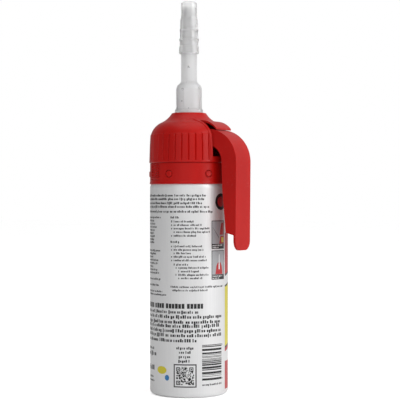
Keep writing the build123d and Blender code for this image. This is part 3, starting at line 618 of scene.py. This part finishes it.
class CAULK_OT_copy(bpy.types.Operator):
    """Print the greeked lines of small copy"""

    bl_idname = "caulk.copy"
    bl_label = "Small copy"

    def execute(self, context):
        s = context.scene.caulk_print
        label = Print(s.lift)
        rng = random.Random(s.seed + 1)
        # opening paragraph
        for height, end in ((134.5, -33), (132.1, -34), (129.4, -40), (127.0, -28), (123.8, -21)):
            label.copy_line(rng, COPY_START, end, height, 1.85)
        # narrow left column
        label.copy_line(rng, COPY_START, -103, 119.9, 1.6, "black")
        for low, high in ((103.1, 117.6), (82.7, 97.7)):
            lines = 8
            for k in range(lines):
                end = rng.uniform(-126, -98 if low < 100 else -108)
                label.copy_line(rng, COPY_START, end, high + (low - high) * k / (lines - 1), 1.55)
        for height, end in ((78.6, -104), (74.6, -108), (70.5, -99), (68.4, -92)):
            label.copy_line(rng, COPY_START, end, height, 1.55)
        # numbered lists
        for height in (119.9, 103.7):
            label.copy_line(rng, -87, -72, height, 1.7, "black")
        upper = (
            (117.2, -86, -50),
            (114.9, -86, -40),
            (112.6, -86, -28),
            (110.3, -82, -28),
            (107.8, -86, -47),
        )
        lower = (
            (100.8, -86, -40),
            (98.5, -86, -36),
            (96.2, -82, -55),
            (93.9, -86, -33),
            (91.5, -86, -30),
            (88.7, -82, -60),
            (86.6, -79, -30),
            (84.2, -75, -42),
            (81.9, -79, -30),
            (79.7, -75, -38),
        )
        for height, start, end in upper + lower:
            label.copy_line(rng, start, start + 2.4, height, 1.6)
            label.copy_line(rng, start + 4, end, height, 1.6)
        label.copy_line(rng, -87, -1, 73.9, 1.5)
        label.copy_line(rng, -84, -31, 71.6, 1.5)
        # heavy headline and the paragraph under it
        label.copy_line(rng, COPY_START, -36, 61.0, 4.1, "black", 0, True)
        label.copy_line(rng, COPY_START, -44, 57.2, 2.5, "grey")
        for height, end in ((54.0, -2), (50.6, -4), (47.9, -8), (44.8, -2), (41.7, -2), (38.3, -45)):
            label.copy_line(rng, COPY_START, end, height, 2.7, "black")
        # small centred lines, and the notes at the foot
        for height, half in ((33.4, 13), (30.6, 9), (27.7, 9.5), (24.8, 10)):
            label.copy_line(rng, -65 - half, -65 + half, height, 2.2)
        label.copy_line(rng, -40, -3, 8.9, 1.5)
        notes = (
            (32.0, -119, 2.0),
            (28.6, -113, 3.4),
            (19.0, -118, 4.0),
            (13.0, -120, 1.6),
            (10.4, -119, 1.6),
        )
        for height, end, size in notes:
            label.copy_line(rng, COPY_START, end, height, size, "black" if size > 3 else "grey")
        label.make("label_copy", print_inks(s))
        return {"FINISHED"}


class CAULK_OT_marks(bpy.types.Operator):
    """Print the block code, the bar ladder, the picture boxes and the round spots"""

    bl_idname = "caulk.marks"
    bl_label = "Codes and pictures"

    def execute(self, context):
        s = context.scene.caulk_print
        label = Print(s.lift)
        rng = random.Random(s.seed + 2)
        # square of random blocks in a frame, which encodes nothing
        label.outline(-82, -48.6, 7.4, 22.8, 0.75, "black")
        left, low, cell_angle, cell_height = -78.2, 9.1, 1.36, 0.635
        last = CODE_CELLS - CODE_CORNER
        corners = ((0, 0), (0, last), (last, last))
        for column in range(CODE_CELLS):
            for row in range(CODE_CELLS):
                if any(0 <= column - c < CODE_CORNER and 0 <= row - r < CODE_CORNER for c, r in corners):
                    continue
                if rng.random() < CODE_FILL:
                    a, z = left + column * cell_angle, low + row * cell_height
                    label.block(a, a + cell_angle, z, z + cell_height, "black")
        for column, row in corners:
            a, z = left + column * cell_angle, low + row * cell_height
            label.outline(a, a + 4.4 * cell_angle, z, z + 4.4 * cell_height, 0.6, "black")
            label.block(
                a + 1.5 * cell_angle,
                a + 2.9 * cell_angle,
                z + 1.5 * cell_height,
                z + 2.9 * cell_height,
                "black",
            )
        # ladder of bars that run round the can
        height = 11.8
        while height < 35.2:
            bar = rng.choice((0.35, 0.35, 0.7, 0.7, 1.05, 1.4))
            label.block(-40.4, -4.5, height, min(height + bar, 35.4), "black")
            height += bar + rng.choice((0.35, 0.35, 0.7, 1.05))
        label.copy_line(rng, -3.6, -1.6, 12.4, 1.4)
        label.copy_line(rng, -3.6, -1.6, 35.0, 1.4)
        # two picture boxes: simple shapes on grey
        for low, high in ((98.9, 117.8), (78.5, 97.9)):
            label.block(-25, 2.5, low, high, "field")
            label.outline(-25, 2.5, low, high, 0.45, "black", 1)
            label.block(-25, 2.5, low, low + 3.3, "black", 1)
            label.copy_line(rng, -23.5, -2, low + 2.3, 1.1, "paper", 2)
            label.copy_line(rng, -23.5, -10, low + 0.95, 1.1, "paper", 2)
        label.patch(((-9, 108.2), (2, 108.2), (2, 116.8), (-5, 116.0)), "red", 1)
        label.patch(((-10, 102.4), (2, 102.4), (2, 107.6), (-7, 107.6)), "red", 1)
        label.block(-5, 1, 103.2, 106.6, "yellow", 2)
        label.patch(((-23, 113.4), (-22, 112.6), (-10, 105.6), (-10.6, 106.6)), "black", 1)
        label.patch(((-18, 82.0), (-2, 82.0), (-4, 87.4), (-16, 87.4)), "red", 1)
        label.patch(((-16, 87.4), (-4, 87.4), (-7, 89.8), (-13, 89.8)), "red", 1)
        label.patch(((-11.4, 85.2), (-8.8, 85.2), (-9.3, 95.2), (-10.9, 95.2)), "paper", 2)
        # dark round badge with a plain red middle, and a small yellow and blue pair
        label.disc(-6, 130.4, 5.6, "black")
        label.disc(-6, 130.4, 3.4, "red", 1)
        label.disc(-103, 18.2, 4.2, "yellow", 0, 0.62)
        label.disc(-93, 13.4, 1.7, "blue", 1, 1.15)
        label.make("label_marks", print_inks(s))
        return {"FINISHED"}


class CAULK_OT_red_pieces(bpy.types.Operator):
    """Give the housing, collar band and lever their satin red"""

    bl_idname = "caulk.red_pieces"
    bl_label = "Red pieces"

    def execute(self, context):
        s = context.scene.caulk_finishes
        wear = (("housing", 0.32, 0.10), ("collar_band", 0.34, 0.08), ("trigger", 0.38, 0.16))
        for node, roughness, scuffs in wear:
            red = moulded(
                "red_" + node,
                s.red,
                s.red_pale,
                roughness,
                2600.0,
                scuffs,
                0.05,
                s.bump,
                IOR=1.46,
                Specular_IOR_Level=0.24,
            )
            give(red, node)
        return {"FINISHED"}


class CAULK_OT_nozzle(bpy.types.Operator):
    """Give the nozzle its natural translucent plastic and its cap a pearly gloss"""

    bl_idname = "caulk.nozzle"
    bl_label = "Nozzle and cap"

    def execute(self, context):
        s = context.scene.caulk_finishes
        scatter = {
            "Subsurface_Weight": 0.45,
            "Subsurface_Radius": (0.006, 0.006, 0.0062),
            "Subsurface_Scale": 0.8,
            "IOR": 1.5,
        }
        natural = moulded(
            "natural_nozzle",
            s.natural,
            [min(1.0, c * 1.05) for c in s.natural],
            0.3,
            1800.0,
            bump=s.bump,
            Transmission_Weight=0.6,
            **scatter,
        )
        give(natural, "nozzle")
        pearl = moulded(
            "pearl_cap",
            s.pearl,
            [min(1.0, c * 1.05) for c in s.pearl],
            0.2,
            1500.0,
            bump=0.5 * s.bump,
            Coat_Weight=0.8,
            Coat_Roughness=0.08,
            Transmission_Weight=0.8,
            **scatter,
        )
        give(pearl, "nozzle_cap")
        return {"FINISHED"}


class CAULK_OT_valve(bpy.types.Operator):
    """Give the valve, adapter and filling plug plain finishes"""

    bl_idname = "caulk.valve"
    bl_label = "Valve pieces"

    def execute(self, context):
        s = context.scene.caulk_finishes
        tin = metal("bright_tinplate", s.tin, [0.9 * c for c in s.tin], 0.24, 0.1, Metallic=1.0)
        give(tin, "valve_cup")
        rubber = moulded(
            "valve_rubber", s.rubber, [c + 0.015 for c in s.rubber], 0.7, 2200.0, 0.0, 0.08, 2 * s.bump
        )
        give(rubber, "cup_gasket", "valve_grommet", "base_plug")
        white = moulded(
            "white_adapter", s.white, [c * 1.04 for c in s.white], 0.36, 2400.0, 0.04, bump=s.bump
        )
        give(white, "nozzle_adapter", "valve_stem")
        return {"FINISHED"}


class CAULK_OT_stage(bpy.types.Operator):
    """Set the pale floor, the soft lights and the camera"""

    bl_idname = "caulk.stage"
    bl_label = "Stage"

    def execute(self, context):
        s = context.scene.caulk_stage
        scene = context.scene
        turn = math.radians(VIEW_TURN)
        back = Vector((math.sin(turn), -math.cos(turn), 0))
        right = Vector((math.cos(turn), math.sin(turn), 0))
        up = Vector((0, 0, 1))

        # floor
        mesh = bpy.data.meshes.new("floor")
        r = FLOOR_REACH
        mesh.from_pydata([(-r, -r, 0), (r, -r, 0), (r, r, 0), (-r, r, 0)], [], [(0, 1, 2, 3)])
        floor = bpy.data.objects.new("floor", mesh)
        scene.collection.objects.link(floor)
        material, tree, shader = new_material("floor_pale")
        ground = add_node(tree, "ShaderNodeTexCoord").outputs["Object"]
        cloud = spread(tree, noise(tree, ground, 6.0), 0.0, 1.0)
        pale, paler = (0.93, 0.93, 0.93, 1), (0.95, 0.95, 0.95, 1)
        tint = add_node(tree, "ShaderNodeMix", {6: pale, 7: paler}, data_type="RGBA")
        tree.links.new(cloud, tint.inputs[0])
        tree.links.new(tint.outputs[2], shader.inputs["Base Color"])
        path = add_node(tree, "ShaderNodeLightPath").outputs
        eye = math_node(tree, "MAXIMUM", path["Is Camera Ray"], path["Is Transmission Ray"])
        tree.links.new(math_node(tree, "MULTIPLY", eye, s.floor_glow), shader.inputs["Emission Strength"])
        set_inputs(shader, {"Roughness": 0.8, "Emission Color": (1, 1, 1, 1)})
        mesh.materials.append(material)

        # pale room: bright to the eye and through clear plastic, softer as a light, and dimmer on the left
        world = bpy.data.worlds.new("pale_room")
        world.use_nodes = True
        scene.world = world
        tree = world.node_tree
        glow = tree.nodes["Background"]
        glow.inputs["Color"].default_value = (1, 1, 1, 1)
        side = add_node(tree, "ShaderNodeVectorMath", operation="DOT_PRODUCT")
        tree.links.new(add_node(tree, "ShaderNodeTexCoord").outputs["Generated"], side.inputs[0])
        side.inputs[1].default_value = right
        wall = add_node(
            tree,
            "ShaderNodeMapRange",
            {"From Min": -1.0, "From Max": 1.0, "To Min": 0.45 * s.room, "To Max": 1.55 * s.room},
        )
        tree.links.new(side.outputs["Value"], wall.inputs["Value"])
        seen = add_node(tree, "ShaderNodeMix", {3: 1.0}, data_type="FLOAT")
        path = add_node(tree, "ShaderNodeLightPath").outputs
        clear = math_node(tree, "MAXIMUM", path["Is Camera Ray"], path["Is Transmission Ray"])
        tree.links.new(clear, seen.inputs[0])
        tree.links.new(wall.outputs["Result"], seen.inputs[2])
        tree.links.new(seen.outputs[0], glow.inputs["Strength"])

        # softboxes, aimed at the middle of the object
        middle = (CAD_BOX[0] + CAD_BOX[1]) / 2
        boxes = (
            ("key_softbox", s.key, (0.7, 0.9), back * 0.5 + right * 1.0 + up * 0.45),
            ("fill_softbox", s.fill, (1.5, 0.9), back * 1.3 - right * 0.25 + up * 0.4),
            ("top_softbox", s.top, (1.4, 1.4), back * 0.2 + up * 1.5),
        )
        for name, power, (wide, tall), place in boxes:
            light = bpy.data.lights.new(name, "AREA")
            light.shape, light.size, light.size_y, light.energy = "RECTANGLE", wide, tall, power
            lamp = bpy.data.objects.new(name, light)
            lamp.location = place + middle
            lamp.rotation_euler = (-place).to_track_quat("-Z", "Y").to_euler()
            scene.collection.objects.link(lamp)

        # camera
        lens = bpy.data.cameras.new("camera")
        lens.lens, lens.sensor_width, lens.clip_start = s.lens, 36.0, 0.01
        camera = bpy.data.objects.new("camera", lens)
        camera.location = back * s.distance + right * s.side_step + up * s.height
        camera.rotation_euler = (math.pi / 2, 0, turn)
        scene.collection.objects.link(camera)
        scene.camera = camera
        scene.view_settings.view_transform = "Standard"
        return {"FINISHED"}


class CAULK_PT_sidebar(bpy.types.Panel):
    """Lists the finishing steps in order"""

    bl_idname = "CAULK_PT_sidebar"
    bl_label = "Caulk Dispenser"
    bl_space_type = "VIEW_3D"
    bl_region_type = "UI"
    bl_category = "Caulk"

    def draw(self, context):
        for operator in STEPS:
            self.layout.operator(operator.bl_idname)


STEPS = (
    CAULK_OT_stage,
    CAULK_OT_can,
    CAULK_OT_front,
    CAULK_OT_copy,
    CAULK_OT_marks,
    CAULK_OT_red_pieces,
    CAULK_OT_nozzle,
    CAULK_OT_valve,
)
SETTINGS = {
    "caulk_finishes": CAULK_PG_finishes,
    "caulk_print": CAULK_PG_print,
    "caulk_stage": CAULK_PG_stage,
}


def register():
    for cls in (*SETTINGS.values(), *STEPS, CAULK_PT_sidebar):
        bpy.utils.register_class(cls)
    for name, cls in SETTINGS.items():
        setattr(bpy.types.Scene, name, PointerProperty(type=cls))


def unregister():
    for name in SETTINGS:
        delattr(bpy.types.Scene, name)
    for cls in (CAULK_PT_sidebar, *reversed(STEPS), *SETTINGS.values()):
        bpy.utils.unregister_class(cls)


def main():
    register()
    for operator in STEPS:
        getattr(bpy.ops.caulk, operator.bl_idname.split(".")[1])()


if __name__ == "__main__":
    main()
